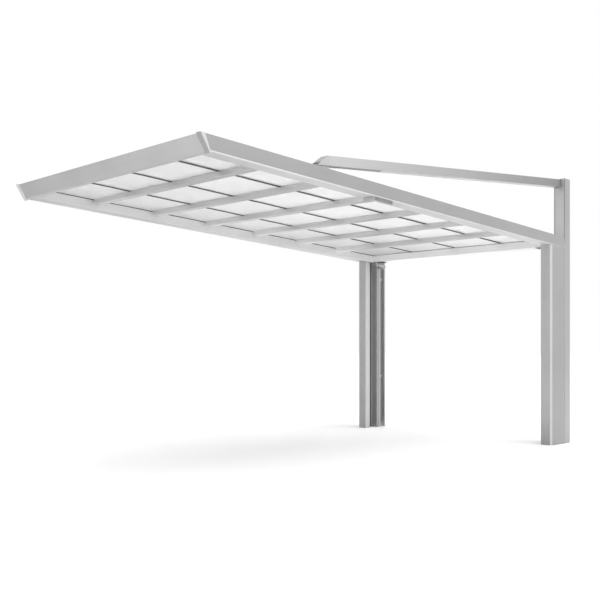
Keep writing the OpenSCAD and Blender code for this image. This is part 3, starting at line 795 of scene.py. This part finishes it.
def drawn_tube(name, corners, radius, wall, bend):
    """A round tube along straight runs, with each corner bent to a radius."""
    sides, bend_steps = 28, 8
    ways = [(end - start).normalized() for start, end in zip(corners, corners[1:])]
    stations = [(corners[0], ways[0])]
    for corner, way_in, way_out in zip(corners[1:], ways, ways[1:]):
        turn = way_in.angle(way_out)
        pivot = way_in.cross(way_out).normalized()
        inward = pivot.cross(way_in)
        centre = corner - way_in * bend * math.tan(turn / 2) + inward * bend
        for step in range(bend_steps + 1):
            swing = Quaternion(pivot, turn * step / bend_steps)
            stations.append((centre - swing @ inward * bend, swing @ way_in))
    stations.append((corners[-1], ways[-1]))
    bpy.ops.object.select_all(action="DESELECT")
    bpy.ops.mesh.primitive_circle_add(vertices=sides, radius=radius, fill_type="NOTHING")
    tube = bpy.context.object
    tube.name = name
    bpy.ops.object.mode_set(mode="EDIT")
    bpy.ops.mesh.select_all(action="SELECT")
    for _ in stations[1:]:
        bpy.ops.mesh.extrude_region_move(TRANSFORM_OT_translate={"value": (0.0, 0.0, -radius)})
    bpy.ops.object.mode_set(mode="OBJECT")
    tilt = Vector((0.0, 0.0, -1.0)).rotation_difference(ways[0])
    for place, (point, way) in enumerate(stations):
        if place:
            tilt = stations[place - 1][1].rotation_difference(way) @ tilt
        for corner in tube.data.vertices[place * sides:(place + 1) * sides]:
            corner.co = point + tilt @ Vector((corner.co.x, corner.co.y, 0.0))
    bpy.ops.object.mode_set(mode="EDIT")
    bpy.ops.mesh.select_all(action="SELECT")
    bpy.ops.mesh.normals_make_consistent(inside=False)
    bpy.ops.object.mode_set(mode="OBJECT")
    thickness = tube.modifiers.new("wall", "SOLIDIFY")
    thickness.thickness = wall
    bpy.ops.object.modifier_apply(modifier=thickness.name)
    bpy.ops.object.shade_smooth_by_angle(angle=math.radians(40.0))
    return tube


socket_radius = pipe_radius + socket_wall
outlet_x, outlet_y = pipe_low.x + socket_radius, pipe_low.y + socket_radius
pipe_x, pipe_y = pipe_high.x - socket_radius, pipe_high.y - socket_radius
outlet_z = pipe_high.z - pipe_radius * math.tan(roof_fall)
run_z = outlet_z - outlet_drop
bend_z = run_z - (pipe_y - outlet_y) * math.tan(run_fall)
route = [Vector((outlet_x, outlet_y, outlet_z)), Vector((outlet_x, outlet_y, run_z)),
         Vector((outlet_x, pipe_y, bend_z)), Vector((pipe_x, pipe_y, bend_z)),
         Vector((pipe_x, pipe_y, pipe_low.z))]
pipe_bend, socket_reach = 0.024, 0.034
downpipe = drawn_tube("downpipe_right", route, pipe_radius, pipe_wall, pipe_bend)
elbows = []
for before, corner, after in zip(route, route[1:], route[2:]):
    reach_in = min(socket_reach, (corner - before).length)
    elbow = [corner + (before - corner).normalized() * reach_in, corner,
             corner + (after - corner).normalized() * socket_reach]
    elbows.append(drawn_tube("elbow", elbow, socket_radius, socket_wall, pipe_bend))
coated(joined([downpipe] + elbows), pipe_vinyl)
recoated(downpipe, pipe_painted_shade, [face for face in downpipe.data.polygons
                                 if face.center.z < bend_z - socket_reach])
flange_width, flange_length, flange_height, flange_setback = 0.150, 0.096, 0.005, 0.004
flange_left, flange_right = post_low.x - flange_width, post_low.x
flange_front = gutter_front + flange_setback
flange_back = flange_front + flange_length
drain_flange = pressed("drain_flange", oblong((flange_left, flange_right), (flange_front, flange_back)),
                       gutter_foot - flange_height, gutter_foot, "z")
laid_on_roof(coated(rounded(drain_flange, radius=0.001, segments=1), joint_rubber))
joined([downpipe, drain_flange])
fitted(left_twin(downpipe, "downpipe_left"), "pipe_plastic", "left_downpipe")
fitted(downpipe, "pipe_plastic", "right_downpipe")

# Pipe clips
# Two bands hold each downpipe to its mast. Each is a bent steel strip with a lug on the mast's
# web, and a flange with two bolts.
clips_low, clips_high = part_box("pipe_clips")
band_height, band_wall, band_play = 0.020, 0.003, 0.0003
lug_half, flange_half, flange_wall, flange_bolt = 0.010, 0.032, 0.002, 0.022
web_x = mast_high.x - mast_web
band_radius = pipe_radius + band_play + band_wall
clips = []
for clip_z in (clips_low.z, clips_high.z - band_height):
    clip_span = (clip_z, clip_z + band_height)
    band_ends = [Vector((pipe_x, pipe_y, clip_z + band_height)), Vector((pipe_x, pipe_y, clip_z))]
    band = drawn_tube("pipe_clip_bands", band_ends, band_radius, band_wall, pipe_bend)
    lug = pressed("clip_lug", oblong((pipe_y - lug_half, pipe_y + lug_half), clip_span),
                  pipe_x + pipe_radius + band_play + band_wall / 2, web_x - flange_wall, "x")
    flange = pressed("clip_flange", oblong((pipe_y - flange_half, pipe_y + flange_half), clip_span),
                     web_x - flange_wall, web_x, "x")
    rounded(flange, radius=0.0005, segments=1)
    bolt_spots = [(pipe_y + way * flange_bolt, clip_z + band_height / 2) for way in (-1, 1)]
    bolted(flange, bolt_spots, web_x - flange_wall, "x", out=-1)
    clips.append(joined([band, rounded(lug, radius=0.001, segments=1), flange]))
clip = coated(joined(clips), foot_steel)
fitted(joined([clip, left_twin(clip, "clips_left")]), "bracket_metal", "pipe_clips")
